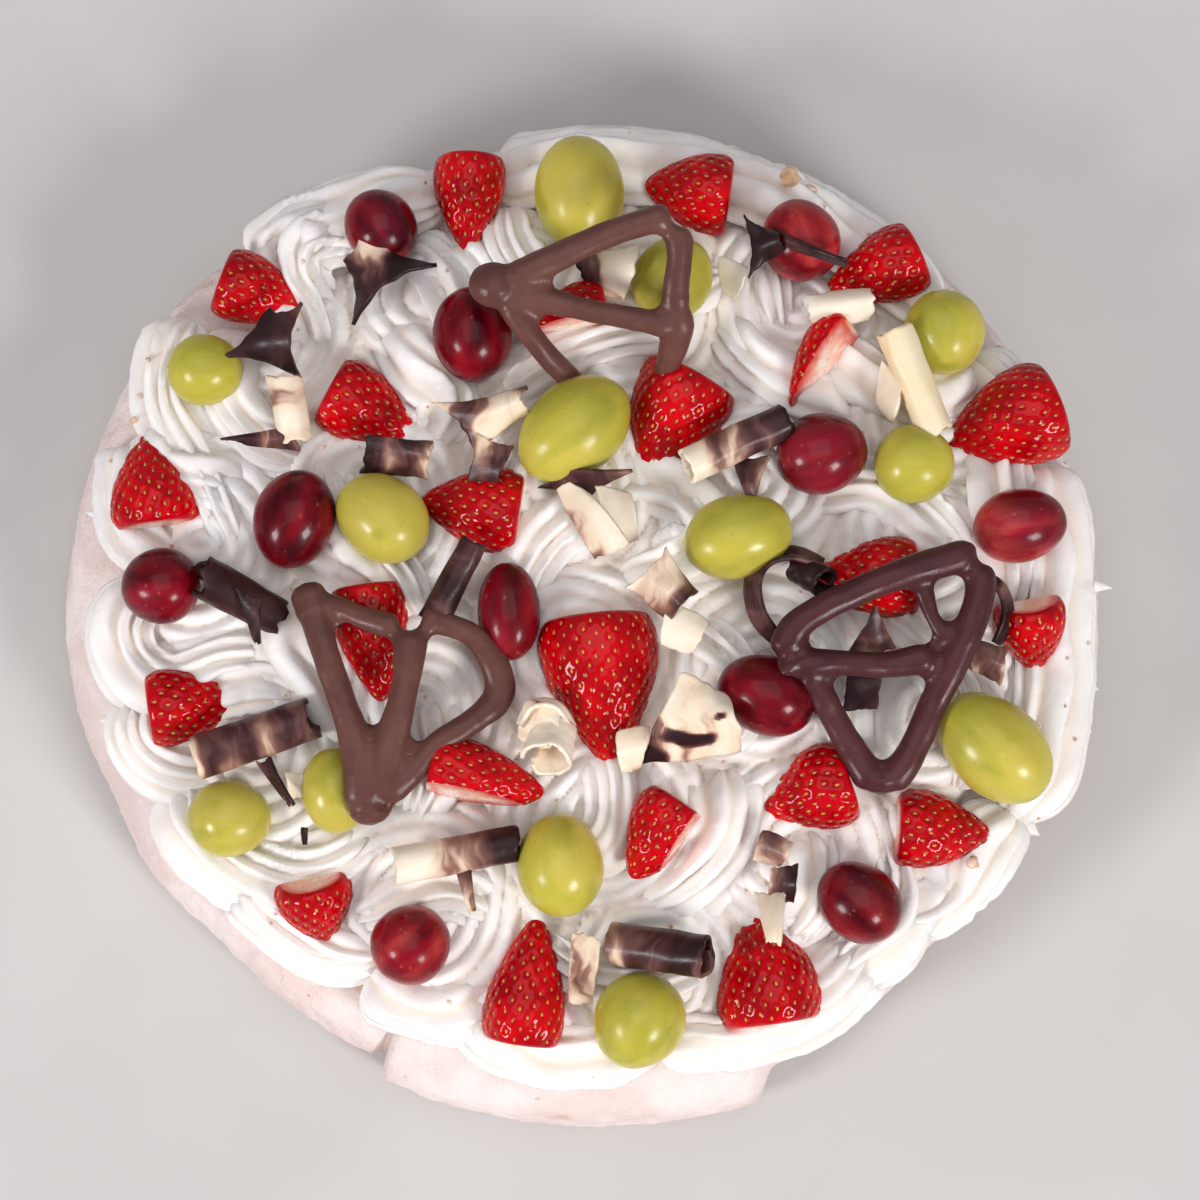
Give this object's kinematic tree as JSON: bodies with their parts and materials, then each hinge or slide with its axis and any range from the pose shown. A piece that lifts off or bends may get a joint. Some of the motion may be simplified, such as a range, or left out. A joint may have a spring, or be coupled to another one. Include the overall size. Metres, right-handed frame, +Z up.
{
  "type": "pavlova",
  "caption": "Round meringue base under piped whipped cream, topped with strawberry pieces, green and red grapes, chocolate curls and piped chocolate lattices.",
  "frame": {"origin": "centre of the outline at the level the meringue rests on", "axes": "+Z up through the toppings, -Y towards the side with the wide strip of bare meringue"},
  "size_m": [0.2292, 0.22, 0.0631],
  "materials": {
    "meringue": "dry baked meringue, sugary and matt",
    "cream": "whipped cream, satin",
    "strawberry": "wet strawberry skin, glossy",
    "green_grape": "grape skin with a faint bloom",
    "red_grape": "grape skin with a faint bloom",
    "milk_chocolate": "set chocolate, satin",
    "dark_chocolate": "set chocolate, satin",
    "white_chocolate": "set chocolate, satin",
    "marbled_chocolate": "set chocolate, satin, marbled"
  },
  "bodies": {
    "root": {"cream": "cream", "curl_brown_roll": "marbled_chocolate", "curl_dark_fan": "dark_chocolate", "curl_dark_open": "dark_chocolate", "curl_marbled_hook": "marbled_chocolate", "curl_marbled_roll": "marbled_chocolate", "curl_white_fan": "white_chocolate", "curl_white_roll": "white_chocolate", "curl_white_tipped": "marbled_chocolate", "green_grape_1": "green_grape", "green_grape_10": "green_grape", "green_grape_11": "green_grape", "green_grape_12": "green_grape", "green_grape_13": "green_grape", "green_grape_2": "green_grape", "green_grape_3": "green_grape", "green_grape_4": "green_grape", "green_grape_5": "green_grape", "green_grape_6": "green_grape", "green_grape_7": "green_grape", "green_grape_8": "green_grape", "green_grape_9": "green_grape", "lattice_left": "milk_chocolate", "lattice_right": "dark_chocolate", "lattice_top": "milk_chocolate", "meringue": "meringue", "red_grape_1": "red_grape", "red_grape_10": "red_grape", "red_grape_11": "red_grape", "red_grape_2": "red_grape", "red_grape_3": "red_grape", "red_grape_4": "red_grape", "red_grape_5": "red_grape", "red_grape_6": "red_grape", "red_grape_7": "red_grape", "red_grape_8": "red_grape", "red_grape_9": "red_grape", "strawberry_1": "strawberry", "strawberry_10": "strawberry", "strawberry_11": "strawberry", "strawberry_12": "strawberry", "strawberry_13": "strawberry", "strawberry_14": "strawberry", "strawberry_15": "strawberry", "strawberry_16": "strawberry", "strawberry_17": "strawberry", "strawberry_18": "strawberry", "strawberry_19": "strawberry", "strawberry_2": "strawberry", "strawberry_20": "strawberry", "strawberry_21": "strawberry", "strawberry_22": "strawberry", "strawberry_23": "strawberry", "strawberry_3": "strawberry", "strawberry_4": "strawberry", "strawberry_5": "strawberry", "strawberry_6": "strawberry", "strawberry_7": "strawberry", "strawberry_8": "strawberry", "strawberry_9": "strawberry"}
  },
  "joints": []
}
